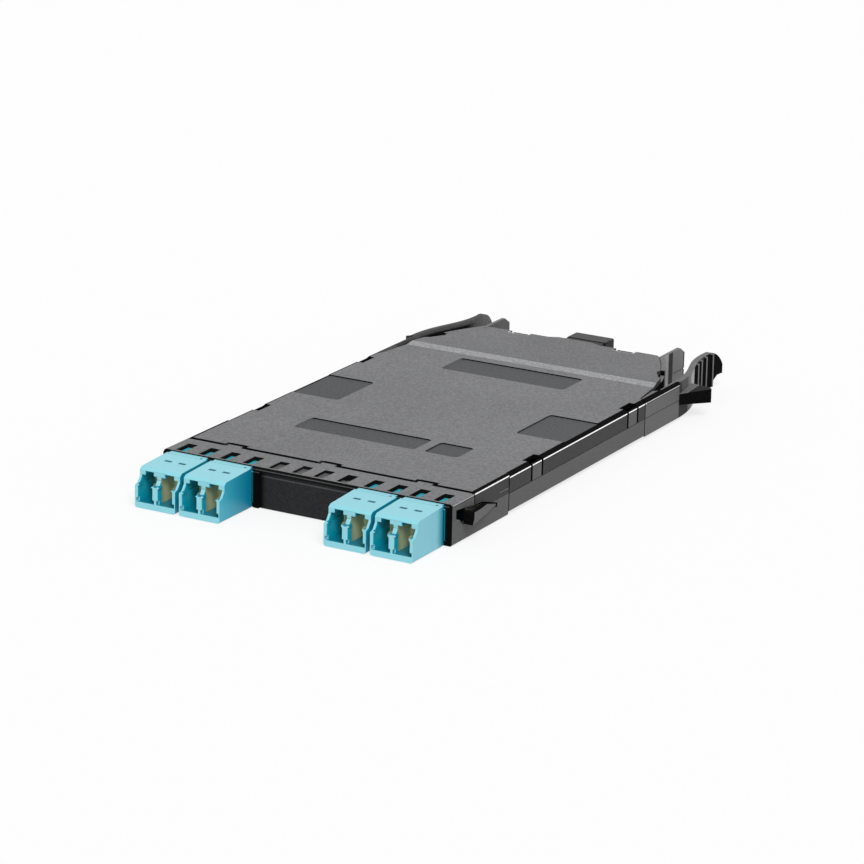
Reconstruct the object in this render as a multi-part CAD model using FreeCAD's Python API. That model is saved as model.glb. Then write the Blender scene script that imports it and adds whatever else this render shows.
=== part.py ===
"""Slim fibre cassette: two-part housing, four duplex ports in front, one multi-fibre port behind.

Millimetres. X is the width, Y runs from the front frame to the back, Z is up.
While drawing, Y = 0 is the front face of the frame, X = 0 the middle and Z = 0 the underside.
The pieces are saved with Y = 0 at origin_y instead, the middle of the overall length.
"""
import FreeCAD, Part
import math
import os

from FreeCAD import Vector

# Housing
origin_y = 77.6
top_height = 11.5         # flat of the cover
deck_rise = 0.6           # rear deck above the flat of the cover
split_height = 6.1        # where the cover sits on the base, at the sides
frame_depth = 11.7        # front frame, from its face to the cover
seam = 0.15               # gap between the cover and the base
frame_seam = 0.45         # wider gap between the cover and the front frame
wall = 1.5
flange = 1.2              # cover's side walls
floor = 1.3
lid = 1.4
rear_wall_y = 152.4
runner_start = 31.0       # behind this the edges are cut back for the tray's guides
runner_step = 0.75
runner_width = 3.5
runner_line = (0.3, 0.2)  # width and depth of the line in the sides where the runners start
side_patch = (25.8, 30.7, 7.7, 10.3, 0.2)   # shallow field in the cover's sides: Y ends, Z ends, depth
foot_bevel = 0.45
strip_thickness = 1.5     # of the frame's roof

# Edge bevels: in front of runner_start, and behind it
front_bevel = (0.55, 0.45)
rear_bevel = (1.0, 0.95)

# Six port places in three pairs
pair_pitch = 13.9         # inside a pair
group_pitch = 15.35       # from the last place of a pair to the first of the next
filled_places = (0, 1, 4, 5)
place_width = 12.6        # opening in the frame for one port
side_post = 0.5           # between the last opening and the side wall
window_width = 3.12
window_length = 6.4
window_front = 0.8
window_spacing = 7.2
tongue_pitch = 29.5       # three tongues on the rear edge of the frame
tongue_base = 6.4
tongue_end = 4.8
tongue_length = 1.5

# Duplex port
port_width = 12.7
port_reach = 17.0         # in front of the frame
port_lower = 6.2          # height of the lower front face
port_slope = (2.4, 2.0)   # set-back and height of the slope above it
port_roof_drop = 0.3      # below the housing's top, at the back
port_brow_drop = 0.6      # from there down to the front
port_neck = (1.4, 0.5)    # length and set-back of the neck in front of the frame
port_depth = 10.5         # behind the frame's face
port_inner = (12.4, 1.4)  # width and underside behind the frame's face
port_clearance = 0.1      # under the frame's roof
port_pitch = 6.25
bore_width = 4.7
bore_floor = 1.6
latch_roof = 0.2          # plastic above the latch slot
latch_rise = 1.1          # height of the latch slot above the shoulder slot
shoulder_rise = 1.9       # height of the shoulder slot above the bore
shoulder_width = 5.0
latch_width = 2.8
roof_hole = (4.5, -1.4, 0.6)      # place and size of the small square hole in the roof
foot_slot = (1.2, 1.1)    # height and depth of the wide slot at the foot of the front face
divider_depth = 2.2       # the port's own divider, in front of the sleeve holder's web
hook = 0.5

# Sleeve holder, sleeves and the plugs behind
fit = 0.06                # slip fit between still parts
web_width = 1.4           # a little under the space between two bores
holder_plate = (-8.4, -6.8)
barrel_diameter = 2.9
barrel_length = 7.0
sleeve_outer = 1.62
sleeve_inner = 1.26
ferrule_diameter = 1.24
plug_width = 4.5
plug_gap = 0.3            # between a plug and the floor and shoulder of its bore
plug_length = 17.0
boot_length = 11.0
boot_diameter = 3.2
boot_tip = 2.0
leg_diameter = 0.9
round_sides = 12          # sides of the hidden round parts

# Blank panel
blank_face = (0.4, 1.8)   # front and back of its face
blank_rib = 1.7           # width of the rib at each end
blank_hook = (7.0, 1.0)   # reach and thickness of its two hooks

# Front latch tabs
tab_root_y = 23.4
tab_tip_y = 5.2
tab_reach = 3.7           # tip outside the housing's side
tab_thickness = 1.5
tab_foot = ((24.4, 4.5), (5.2, 5.0))               # lower edge, root to tip, as (y, z)
tab_head = ((5.2, 8.7), (10.6, 8.0), (16.0, 7.6), (24.4, 5.1))   # upper edge, tip to root
tab_return = 3.3          # width of the front face
tab_clearance = 0.35
tab_crease = (6.9, 5.1, 0.45)     # height at the tip and at the root, and depth of the lower slant
tab_sill = 6.1            # underside of the window in front of the tab
window_mouth = 2.2        # front end of the window

# Side snap tabs of the base, and those of the rear wall
snap_places = (46.5, 103.4)
snap_width = 5.5
snap_slot = 0.55
snap_thickness = 1.05
snap_hole_inner = 41.5
rear_snap_x = 17.4
rear_snap_width = 5.0

# Rear corner of the housing: lever root, taper and ear
root_y = 113.4
root_radius = 2.05
root_gap = 0.3
slit_end = (40.9, 122.3)
taper_middle = (37.3, 137.5)
ear_x = 30.0
ear_end_y = 166.0
ear_chamfer = (3.0, 1.9)
ear_line = (158.0, 5.2, 0.45, 0.25)   # start, height, width and depth of the line on its outer face
rim_width = 1.15          # of the ears and of the base's rim beside the deck
rim_start_y = 139.0
ramp_start_y = 123.9
ramp_length = 2.8
deck_notch = (2.3, 132.6, 137.2)      # depth, front and back of the notch in each slanted edge
deck_corner = 1.8

# Rear levers: outer face followed from the root to the grip
lever_straight = 19.6
lever_bend_radius = 44.0
lever_bend = 18.5
lever_slant = 5.3
grip_radius = 33.0
grip_turn = 25.0
grip_tail = 5.8
grip_round = (165.3, (169.8, 9.4), (172.2, 6.2))     # round end of the grip, seen from the side
grip_foot = ((166.4, 0.75), (166.9, 2.5), (169.2, 3.9), (172.2, 3.9))
lever_thickness = 1.8
lever_shoulder = ((41.95, 120.5), (43.2, 122.1))
rib_radius = 0.75
rib_places = (153.6, 157.7, 161.6, 165.6)
barb_root_y = 132.9
barb_reach = 6.3          # tip outside the lever's straight face
barb_length = 8.4
barb_end = (1.1, 1.3)     # blunt end: set-back towards the lever, and along Y
barb_root_heights = (4.7, 7.9)
barb_tip_heights = (4.3, 8.4)

# Multi-fibre port at the back
rear_port_width = 12.2
rear_port_foot = 0.1      # above the floor
rear_port_head = 0.3      # under the deck's lid
rear_port_inside = 12.4   # in front of the rear wall
rear_port_reach = 8.2     # behind it
rear_plug_entry = 10.0    # of the inner plug, from the port's inner end
rear_bore = (10.0, 6.8)
cap_width = 12.9
cap_overhang = (0.5, 0.15)        # below and above the port
cap_length = 5.6
cap_stem = 5.0
rear_plug_width = 9.6
rear_plug_height = 6.4
rear_plug_length = 20.0
rear_boot = 7.0
breakout_y = 100.0
breakout_length = 12.0
trunk_width = 3.1
trunk_thickness = 0.6

# Fibre legs and the two rings that slack is wound round
leg_straight = 10.0
leg_bend = 15.0
leg_pitch = 1.25
ring_x = 27.0
ring_radius = 11.0
ring_wall = 1.2
ring_gap = 0.9            # under the lid

# Shallow fields in the cover
field_depth = 0.3
side_field = (28.4, 64.0, 84.4)
rear_field = (20.0, 107.6, 120.2)
plate_field = (-25.8, 12.4, 35.8, 46.0)
small_field = (15.6, 25.8, 35.8, 45.4)
field_corner = 1.2

half_width = 1.5 * pair_pitch + group_pitch + place_width / 2 + side_post + wall
deck_height = top_height + deck_rise
strip_bottom = top_height - strip_thickness
port_roof = top_height - port_roof_drop
port_brow = port_roof - port_brow_drop
port_top = strip_bottom - port_clearance
latch_top = port_top - latch_roof
shoulder_top = latch_top - latch_rise
bore_shoulder = shoulder_top - shoulder_rise
fibre_height = (bore_floor + bore_shoulder) / 2
rear_port_front = rear_wall_y - rear_port_inside
rear_port_back = rear_wall_y + rear_port_reach
rear_port_heights = (floor + rear_port_foot, deck_height - lid - rear_port_head)
rear_port_middle = sum(rear_port_heights) / 2


def place_centres():
    """X of the six port places."""
    xs = [0.0]
    for step in (pair_pitch, group_pitch, pair_pitch, group_pitch, pair_pitch):
        xs.append(xs[-1] + step)
    return [x - xs[-1] / 2 for x in xs]


def box(x0, x1, y0, y1, z0, z1):
    return Part.makeBox(x1 - x0, y1 - y0, z1 - z0, Vector(x0, y0, z0))


def prism(points, direction):
    """Extrude a closed outline of points."""
    wire = Part.makePolygon([Vector(*p) for p in points] + [Vector(*points[0])])
    return Part.Face(wire).extrude(Vector(*direction))


def slab(edges, z0, z1):
    """Extrude a closed outline of edges in the XY plane from z0 to z1."""
    face = Part.Face(Part.Wire(Part.__sortEdges__(edges)))
    face.translate(Vector(0, 0, z0))
    return face.extrude(Vector(0, 0, z1 - z0))


def many_sided(radius, x, z, y0, y1):
    """Rod along Y with round_sides flat sides, for the hidden round parts."""
    step = 2 * math.pi / round_sides
    corners = []
    for k in range(round_sides):
        corners.append((x + radius * math.cos((k + 0.5) * step), y0, z + radius * math.sin((k + 0.5) * step)))
    return prism(corners, (0, y1 - y0, 0))


def mirrored(shape):
    return shape.mirror(Vector(0, 0, 0), Vector(1, 0, 0))


def both_sides(shape):
    return [shape, mirrored(shape)]


def save(name, shape):
    shape = shape.removeSplitter()
    shape.translate(Vector(0, -origin_y, 0))
    shape.exportStep(f"parts/{name}.step")
    print(f"{name:28s} solids {len(shape.Solids)}  volume {shape.Volume:10.2f}  valid {shape.isValid()}")


def line(a, b):
    return Part.LineSegment(Vector(a[0], a[1], 0), Vector(b[0], b[1], 0)).toShape()


def arc(a, b, c):
    return Part.Arc(Vector(a[0], a[1], 0), Vector(b[0], b[1], 0), Vector(c[0], c[1], 0)).toShape()


def flipped(point):
    return (-point[0], point[1])


def housing_outline(inset):
    """Closed outline of the housing in plan, moved inwards by inset; the ears are not in it."""
    seat = root_radius + root_gap + inset
    side = half_width - inset
    centre = (half_width, root_y)
    reach = math.sqrt(seat ** 2 - inset ** 2)
    corner = (side, root_y - reach)
    middle_angle = math.radians(225)
    on_seat = (centre[0] + seat * math.cos(middle_angle), centre[1] + seat * math.sin(middle_angle))
    seat_end = (centre[0] - seat, root_y)
    slit = (slit_end[0] - inset, slit_end[1])
    taper = (taper_middle[0] - inset, taper_middle[1] - inset / 3)
    rear = rear_wall_y - inset
    ear = (ear_x - inset, rear)
    right = [line((side, inset), corner), arc(corner, on_seat, seat_end), line(seat_end, slit),
             arc(slit, taper, ear)]
    left = [line(flipped((side, inset)), flipped(corner)),
            arc(flipped(corner), flipped(on_seat), flipped(seat_end)),
            line(flipped(seat_end), flipped(slit)), arc(flipped(slit), flipped(taper), flipped(ear))]
    ends = [line((-side, inset), (side, inset)), line(flipped(ear), ear)]
    return right + left + ends


def edge_bevels(y0, y1, size, top):
    """Wedges that cut the two long top edges between y0 and y1."""
    width, height = size
    wedge = prism([(half_width - width, y0, top), (half_width + 0.01, y0, top - height),
                   (half_width + 1, y0, top - height), (half_width + 1, y0, top + 1),
                   (half_width - width, y0, top + 1)], (0, y1 - y0, 0))
    return both_sides(wedge)


def foot_bevels(y0, y1, bottom):
    """Wedges that cut the two long bottom edges between y0 and y1."""
    wedge = prism([(half_width - foot_bevel, y0, bottom), (half_width + 0.01, y0, bottom + foot_bevel),
                   (half_width + 1, y0, bottom + foot_bevel), (half_width + 1, y0, bottom - 1),
                   (half_width - foot_bevel, y0, bottom - 1)], (0, y1 - y0, 0))
    return both_sides(wedge)


def tongue(x, grow):
    """One of the tongues that the front frame has on its rear edge."""
    half_base = tongue_base / 2 + grow
    half_end = tongue_end / 2 + grow
    front = frame_depth - 0.5
    return prism([(x - half_base, front, strip_bottom), (x + half_base, front, strip_bottom),
                  (x + half_base, frame_depth, strip_bottom),
                  (x + half_end, frame_depth + tongue_length + grow, strip_bottom),
                  (x - half_end, frame_depth + tongue_length + grow, strip_bottom),
                  (x - half_base, frame_depth, strip_bottom)], (0, 0, top_height - strip_bottom))


def tab_window():
    """Opening in the side of the frame that a front latch tab moves in."""
    back = tab_root_y + 0.9
    start = half_width - wall - 0.2
    gap = tab_clearance
    outline = [(start, window_mouth, tab_sill), (start, tab_tip_y - 0.7, tab_sill),
               (start, tab_tip_y - 0.7, tab_foot[1][1] - gap), (start, back, tab_foot[0][1] - gap)]
    outline += [(start, min(y, back), z + gap) for y, z in reversed(tab_head)]
    outline.append((start, window_mouth, tab_head[0][1] + 2 * gap))
    return prism(outline, (wall + 1.2, 0, 0))


def front_frame():
    frame = box(-half_width, half_width, 0, frame_depth, 0, top_height)
    inner = half_width - wall
    frame = frame.cut(box(-inner, inner, -1, frame_depth + 1, floor, strip_bottom))
    centres = place_centres()
    posts = []
    for a, b in zip(centres, centres[1:]):
        posts.append(box(a + place_width / 2, b - place_width / 2, 2.0, 4.5, floor - 0.1, strip_bottom + 0.1))
    for a, b in ((centres[0], centres[1]), (centres[4], centres[5])):
        posts.append(box(a + place_width / 2, b - place_width / 2, 0.3, 4.5, floor - 0.1, strip_bottom + 0.1))
    edge = centres[-1] + place_width / 2
    posts += both_sides(box(edge, inner + 0.1, 0.2, 2.0, floor - 0.1, strip_bottom + 0.1))
    frame = frame.fuse(posts + [tongue(x, 0) for x in (-tongue_pitch, 0, tongue_pitch)])
    windows = []
    for centre in centres:
        for side in (-1, 1):
            x = centre + side * window_spacing / 2 - window_width / 2
            windows.append(box(x, x + window_width, window_front, window_front + window_length,
                               strip_bottom - 1, top_height + 1))
    blank_seat = box(*blank_span(0), -1, 1.9, -1, floor + 0.05)
    return frame.cut(windows + [blank_seat] + edge_bevels(-1, frame_depth + 1, front_bevel, top_height))


def blank_span(inset):
    """Ends in X of the two middle places with the posts beside them."""
    centres = place_centres()
    return centres[1] + place_width / 2 + inset, centres[4] - place_width / 2 - inset


def snap_tab(y):
    """Right-hand side snap tab: a tongue that rises from the base, with a nib that holds the cover."""
    outer = half_width
    inner = outer - snap_thickness
    top = top_height - rear_bevel[1]
    profile = [(inner, y, split_height - 1.5), (outer, y, split_height - 1.5), (outer, y, top),
               (outer - 0.55, y, top + 0.4), (inner - 0.45, y, top - 0.5), (inner, y, top - 1.3)]
    tab = prism(profile, (0, snap_width, 0))
    tab.translate(Vector(0, -snap_width / 2, 0))
    return tab


def rear_snap(x):
    back = rear_wall_y
    front = back - snap_thickness
    top = deck_height - 0.25
    profile = [(x, front, split_height - 1.5), (x, back, split_height - 1.5), (x, back, top - 0.6),
               (x, back - 0.5, top), (x, front - 0.45, top - 1.1), (x, front, top - 1.9)]
    tab = prism(profile, (rear_snap_width, 0, 0))
    tab.translate(Vector(-rear_snap_width / 2, 0, 0))
    return tab


def ear():
    """Fixed plate behind the rear corner, which a finger pinches the lever against."""
    back_cut, down_cut = ear_chamfer
    start = rear_wall_y - wall + 0.2
    inner = ear_x - rim_width
    points = [(inner, start, runner_step), (inner, ear_end_y, runner_step),
              (inner, ear_end_y, deck_height - down_cut),
              (inner, ear_end_y - back_cut, deck_height), (inner, start, deck_height)]
    line_start, height, width, depth = ear_line
    mark = box(ear_x - depth, ear_x + 1, line_start, ear_end_y + 1, height - width / 2, height + width / 2)
    return prism(points, (rim_width, 0, 0)).cut(mark)


def base_shell():
    shell = slab(housing_outline(0), 0, split_height)
    shell = shell.cut(slab(housing_outline(wall), floor, split_height + 1))
    rim = slab(housing_outline(0), split_height - 0.5, deck_height)
    rim = rim.cut(slab(housing_outline(rim_width), split_height - 1, deck_height + 1))
    rim = rim.common(box(ear_x - rim_width - 1.5, half_width, ramp_start_y, rear_wall_y + 1, 0, deck_height))
    before_rim = box(0, half_width, 0, rim_start_y, 0, deck_height + 2)
    rim = rim.cut([box(0, ear_x - rim_width, rear_wall_y - wall - 1, rear_wall_y + 1, 0, deck_height + 1),
                   deck_block(-0.05).common(before_rim), deck_block(lid / 2).common(before_rim)])
    ring_height = top_height - lid - ring_gap - floor
    rings = []
    for x in (-ring_x, ring_x):
        foot = Vector(x, breakout_y - 8, floor - 0.1)
        ring = Part.makeCylinder(ring_radius, ring_height, foot)
        rings.append(ring.cut(Part.makeCylinder(ring_radius - ring_wall, ring_height + 1, foot)))
    shell = shell.cut([box(-half_width + wall, half_width - wall, -1, frame_depth - 1, floor, split_height + 1),
                       box(*blank_span(0), -1, 1.9, -1, floor + 0.05)])
    pieces = [front_frame()] + both_sides(rim) + both_sides(ear()) + rings
    for y in snap_places:
        pieces += both_sides(snap_tab(y))
    pieces += [rear_snap(-rear_snap_x), rear_snap(rear_snap_x)]
    shell = shell.fuse(pieces)
    cuts = both_sides(tab_window())
    cuts += both_sides(box(half_width - runner_width, half_width + 1, runner_start, ear_end_y + 1,
                           -1, runner_step))
    cuts += foot_bevels(-1, runner_start, 0)
    cuts += foot_bevels(runner_start, root_y, runner_step)
    cuts += runner_lines()
    low, high = rear_port_heights
    cuts.append(box(-rear_port_width / 2 - fit, rear_port_width / 2 + fit, rear_wall_y - wall - 1,
                    rear_wall_y + 1, low - fit, high + 1))
    return shell.cut(cuts)


def runner_lines():
    """Fine line across each side where the guides' steps start."""
    width, depth = runner_line
    return both_sides(box(half_width - depth, half_width + 1, runner_start - width, runner_start,
                          -1, top_height + 1))


def deck_block(shift):
    """Raised rear part of the cover over the whole width, with its ramp; moved up by shift."""
    under = top_height - lid
    deck_under = deck_height - lid
    ramp_end = ramp_start_y + ramp_length
    side = -half_width
    profile = [(side, ramp_start_y - 2, under), (side, ramp_start_y - 2, top_height),
               (side, ramp_start_y, top_height), (side, ramp_end, deck_height),
               (side, rear_wall_y, deck_height), (side, rear_wall_y, deck_under),
               (side, ramp_end, deck_under), (side, ramp_start_y, under)]
    block = prism(profile, (2 * half_width, 0, 0))
    block.translate(Vector(0, 0, shift))
    return block


def deck_notch_cut():
    """Three-cornered notch in the right-hand slanted edge of the deck."""
    depth, front, back = deck_notch
    edge = taper_middle[0]
    return prism([(edge + 3, front - 1.5, 0), (edge + 0.4, front, 0), (edge - depth, back, 0),
                  (edge - depth + 0.5, back + 1.6, 0), (edge + 3, back + 1.6, 0)], (0, 0, deck_height + 1))


def deck_corner_cut():
    """What the round rear corner of the deck takes off, on the right."""
    x, y = ear_x - rim_width - deck_corner, rear_wall_y - deck_corner
    corner = box(x, x + deck_corner + 2, y, y + deck_corner + 1, 0, deck_height + 1)
    return corner.cut(Part.makeCylinder(deck_corner, deck_height + 2, Vector(x, y, -0.5)))


def side_field_cut():
    inner, y0, y1 = side_field
    cut = box(inner, half_width + 1, y0, y1, top_height - field_depth, top_height + 1)
    corners = [e for e in cut.Edges if abs(e.Length - field_depth - 1) < 0.01
               and e.Vertexes[0].X < inner + 0.1]
    return cut.makeFillet(field_corner, corners)


def field_cut(x0, x1, y0, y1):
    cut = box(x0, x1, y0, y1, top_height - field_depth, top_height + 1)
    corners = [e for e in cut.Edges if abs(e.Length - field_depth - 1) < 0.01]
    return cut.makeFillet(field_corner, corners)


def top_cover():
    under = top_height - lid
    deck_under = deck_height - lid
    front = frame_depth + frame_seam
    outline = housing_outline(0)
    flat = slab(outline, split_height + 0.05, top_height)
    flat = flat.cut(slab(housing_outline(flange), split_height - 1, under))
    flat = flat.common(box(-half_width, half_width, front, ramp_start_y, 0, top_height))
    beside_rim = slab(housing_outline(rim_width + seam), 0, deck_height + 1)
    before_rim = slab(outline, 0, deck_height + 1).common(
        box(-half_width, half_width, 0, rim_start_y - seam, 0, deck_height + 1))
    rear_half = ear_x - rim_width - seam
    rear_strip = box(-rear_half, rear_half, rear_wall_y - 4, rear_wall_y, 0, deck_height + 1)
    deck = deck_block(0).common(beside_rim.fuse([before_rim, rear_strip]).removeSplitter())
    deck = deck.cut(both_sides(deck_corner_cut()))
    tongue_half, tongue_y = 8.5, 1.4
    lip = prism([(-tongue_half, rear_wall_y - 0.5, deck_under), (tongue_half, rear_wall_y - 0.5, deck_under),
                 (tongue_half, rear_wall_y, deck_under), (tongue_half - 3, rear_wall_y + tongue_y, deck_under),
                 (-tongue_half + 3, rear_wall_y + tongue_y, deck_under), (-tongue_half, rear_wall_y, deck_under)],
                (0, 0, lid))
    skirt_half = rear_half - deck_corner
    skirt = box(-skirt_half, skirt_half, rear_wall_y - flange, rear_wall_y, split_height + 0.05,
                deck_under + 0.1)
    skirt = skirt.cut(box(-rear_port_width / 2 - fit, rear_port_width / 2 + fit, 0, ear_end_y, 0,
                          rear_port_heights[1] + fit))
    cover = flat.fuse([deck, lip, skirt])
    cuts = [tongue(x, frame_seam) for x in (-tongue_pitch, 0, tongue_pitch)]
    cuts += edge_bevels(0, runner_start, front_bevel, top_height)
    cuts += edge_bevels(runner_start, root_y, rear_bevel, top_height)
    cuts += both_sides(tab_window())
    cuts += runner_lines()
    y0, y1, z0, z1, depth = side_patch
    cuts += both_sides(box(half_width - depth, half_width + 1, y0, y1, z0, z1))
    cuts += both_sides(side_field_cut())
    inner, y0, y1 = rear_field
    cuts.append(field_cut(-inner, inner, y0, y1))
    cuts.append(field_cut(*plate_field))
    cuts.append(field_cut(*small_field))
    reach = snap_width / 2 + snap_slot
    for y in snap_places:
        cuts += both_sides(box(half_width - flange - 0.1, half_width + 1, y - reach, y + reach,
                               split_height - 1, top_height + 1))
        cuts += both_sides(box(snap_hole_inner, half_width, y - reach, y + reach,
                               under - 1, top_height + 1))
    reach = rear_snap_width / 2 + 0.7
    for x in (-rear_snap_x, rear_snap_x):
        cuts.append(box(x - reach, x + reach, rear_wall_y - 2.1, rear_wall_y + 1,
                        split_height - 1, deck_height + 1))
    cuts += both_sides(deck_notch_cut())
    cover = cover.cut(cuts)
    return Part.makeCompound(cover.Solids) if len(cover.Solids) > 1 else cover


def blank_panel():
    """Fills the two middle places that hold no port."""
    left, right = blank_span(fit)
    high = strip_bottom - 0.1
    front, back = blank_face
    reach, thickness = blank_hook
    face = box(left, right, front, back, 0, high)
    ribs = [box(left, left + blank_rib, -front, front + 0.1, 0, high),
            box(right - blank_rib, right, -front, front + 0.1, 0, high)]
    centres = place_centres()
    hooks = []
    for x in centres[2:4]:
        hooks.append(box(x - place_width / 2 + fit, x + place_width / 2 - fit, back - 0.1, reach,
                         high - thickness, high))
    return face.fuse(ribs + hooks)


def port_profile(x0, x1):
    """Outer form of the part of a port that stands in front of the frame."""
    back, rise = port_slope
    front = -port_reach
    return prism([(x0, 0, 0), (x0, front, 0), (x0, front, port_lower),
                  (x0, front + 1.3, port_lower + 0.45), (x0, front + back, port_lower + rise),
                  (x0, front + back, port_brow - 0.7), (x0, front + back + 1.0, port_brow),
                  (x0, 0, port_roof)], (x1 - x0, 0, 0))


def lc_adapter(x):
    half = port_width / 2
    body = port_profile(x - half, x + half)
    body = body.makeFillet(0.7, [e for e in body.Edges if abs(e.BoundBox.YLength - port_reach) < 0.01
                                 and e.BoundBox.ZMax < 0.01])
    length, inset = port_neck
    for side in (-1, 1):
        edge = x + side * half
        body = body.cut(box(min(edge, edge - side * inset), max(edge, edge - side * inset), -length, 1,
                            -1, port_roof + 1))
    width, low = port_inner
    body = body.fuse(box(x - width / 2, x + width / 2, -0.5, port_depth, low, port_top))
    cuts = []
    for side in (-1, 1):
        middle = x + side * port_pitch / 2
        front, back = -port_reach - 1, port_depth + 1
        cuts.append(box(middle - bore_width / 2, middle + bore_width / 2, front, back,
                        bore_floor, bore_shoulder))
        cuts.append(box(middle - shoulder_width / 2, middle + shoulder_width / 2, front, back,
                        bore_shoulder - 0.3, shoulder_top))
        cuts.append(box(middle - latch_width / 2, middle + latch_width / 2, front, back,
                        shoulder_top - 0.1, latch_top))
        outer, inner = x + side * (half - 0.3), x + side * 0.3
        cuts.append(box(min(outer, inner), max(outer, inner), front, -port_reach + foot_slot[1],
                        bore_floor, bore_floor + foot_slot[0]))
        slot_x = x + side * 2.2 + 0.1
        cuts.append(box(slot_x - 1.1, slot_x + 1.1, -7.45, -7.0, port_roof - 0.5, port_roof + 1))
    hole_x, hole_y, hole = roof_hole
    cuts.append(box(x + hole_x - hole / 2, x + hole_x + hole / 2, hole_y - hole / 2, hole_y + hole / 2,
                    port_roof - 0.5, port_roof + 1))
    between = (port_pitch - bore_width) / 2 + 0.01
    cuts.append(box(x - between, x + between, -port_reach + divider_depth, port_depth + 1, bore_floor,
                    latch_top))
    body = body.cut(cuts)
    hooks = []
    for side in (-1, 1):
        middle = x + side * port_pitch / 2
        for edge in (-1, 1):
            at = middle + edge * bore_width / 2
            tip = at - edge * hook
            hooks.append(prism([(at + edge * 0.2, -port_reach, bore_shoulder - 0.75),
                                (tip, -port_reach, bore_shoulder - 0.35),
                                (at + edge * 0.2, -port_reach, bore_shoulder)],
                               (0, divider_depth - 0.1, 0)))
    return body.fuse(hooks)


def sleeve_holder(x):
    """Amber insert: a web between the two bores, a cross plate and two barrels."""
    low = bore_floor + fit
    web = box(x - web_width / 2, x + web_width / 2, -port_reach + divider_depth + fit, port_depth - 0.5,
              low, latch_top - fit)
    y0, y1 = holder_plate
    reach = port_pitch / 2 + bore_width / 2 - fit
    plate = box(x - reach, x + reach, y0, y1, low, bore_shoulder - 0.4)
    middle = (y0 + y1) / 2
    holder = web.fuse(plate)
    for side in (-1, 1):
        at = x + side * port_pitch / 2
        barrel = many_sided(barrel_diameter / 2, at, fibre_height, middle - barrel_length / 2,
                            middle + barrel_length / 2)
        holder = holder.fuse(barrel)
    for side in (-1, 1):
        at = x + side * port_pitch / 2
        holder = holder.cut(many_sided(sleeve_outer / 2 + fit / 2, at, fibre_height,
                                       middle - barrel_length, middle + barrel_length))
    return holder


def sleeves(x):
    """The two ceramic sleeves that line up the ferrules."""
    middle = sum(holder_plate) / 2
    made = []
    for side in (-1, 1):
        at = x + side * port_pitch / 2
        tube = many_sided(sleeve_outer / 2, at, fibre_height, middle - 3.3, middle + 3.3)
        made.append(tube.cut(many_sided(sleeve_inner / 2, at, fibre_height, middle - 4, middle + 4)))
    return Part.makeCompound(made)


def octagon(radius, x, y):
    corners = []
    for k in range(9):
        angle = math.radians(22.5 + 45 * k)
        corners.append(Vector(x + radius * math.cos(angle), y, fibre_height + radius * math.sin(angle)))
    return Part.makePolygon(corners)


def lc_plug(x):
    """Inner plug, pushed into the back of a port: body with its latch, ferrule and boot."""
    half = plug_width / 2
    front = holder_plate[1] + barrel_length / 2 - (holder_plate[1] - holder_plate[0]) / 2 + 0.3
    back = front + plug_length
    low, high = bore_floor + plug_gap, bore_shoulder - plug_gap
    body = box(x - half, x + half, front, back, low, high)
    latch = prism([(x - 1.1, front + 0.5, high - 0.1), (x - 1.1, front + 1.0, high + 1.0),
                   (x - 1.1, back - 5, shoulder_top + 0.4), (x - 1.1, back - 5, shoulder_top - 0.3),
                   (x - 1.1, front + 3.2, high - 0.1)], (2.2, 0, 0))
    ferrule = many_sided(ferrule_diameter / 2, x, fibre_height, sum(holder_plate) / 2 + 0.05, front + 0.5)
    boot = Part.makeLoft([octagon(boot_diameter / 2, x, back - 0.2), octagon(boot_tip / 2, x, plug_end())],
                         True, True)
    return body.fuse([latch, ferrule, boot])


def plug_end():
    """Y where a plug's boot ends."""
    front = holder_plate[1] + barrel_length / 2 - (holder_plate[1] - holder_plate[0]) / 2 + 0.3
    return front + plug_length - 0.2 + boot_length


def fibre_leg(x, end_x):
    """One fibre from a plug's boot to the breakout block, in a slow double bend."""
    z = fibre_height
    start = Vector(x, plug_end(), z)
    a = Vector(x, plug_end() + leg_straight, z)
    b = Vector(end_x, breakout_y - leg_straight, z)
    end = Vector(end_x, breakout_y, z)
    radius = leg_bend
    edges, last = [], start
    for before, corner, after in ((start, a, b), (a, b, end)):
        into = (corner - before).normalize()
        out = (after - corner).normalize()
        turn = into.getAngle(out)
        reach = radius * math.tan(turn / 2)
        first, final = corner - into * reach, corner + out * reach
        inward = (out - into).normalize()
        middle = corner + inward * (radius / math.cos(turn / 2) - radius)
        edges += [Part.LineSegment(last, first).toShape(), Part.Arc(first, middle, final).toShape()]
        last = final
    edges.append(Part.LineSegment(last, end).toShape())
    path = Part.Wire(edges)
    corners = []
    for k in range(7):
        angle = math.radians(60 * k)
        corners.append(start + Vector(math.cos(angle), 0, math.sin(angle)) * leg_diameter / 2)
    section = Part.makePolygon(corners)
    return path.makePipeShell([section], True, False)


def tab_shape():
    """Right-hand front latch tab, a tapered plate that slants out to a flat front face."""
    out = half_width + tab_reach
    side = half_width
    plan = [(side, tab_root_y), (out, tab_tip_y), (out - tab_return, tab_tip_y),
            (out - tab_return, tab_tip_y + 1.0), (out - tab_thickness - 0.3, tab_tip_y + 1.6),
            (side - tab_thickness, tab_root_y - 0.6), (side - tab_thickness, tab_root_y)]
    plate = prism([(p[0], p[1], 0) for p in plan], (0, 0, top_height))
    root = Part.makeCylinder(tab_thickness / 2, top_height, Vector(side - tab_thickness / 2, tab_root_y, 0))
    profile = prism([(0, y, z) for y, z in tab_foot + tab_head], (half_width + 10, 0, 0))
    at_tip, at_root, depth = tab_crease
    along = (side - out, tab_root_y - tab_tip_y, at_root - at_tip)
    slant = prism([(out, tab_tip_y, at_tip), (out - depth, tab_tip_y, tab_foot[1][1] - 0.1),
                   (out + 1, tab_tip_y, tab_foot[1][1] - 0.1), (out + 1, tab_tip_y, at_tip)], along)
    return plate.fuse(root).common(profile).cut(slant)


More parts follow.
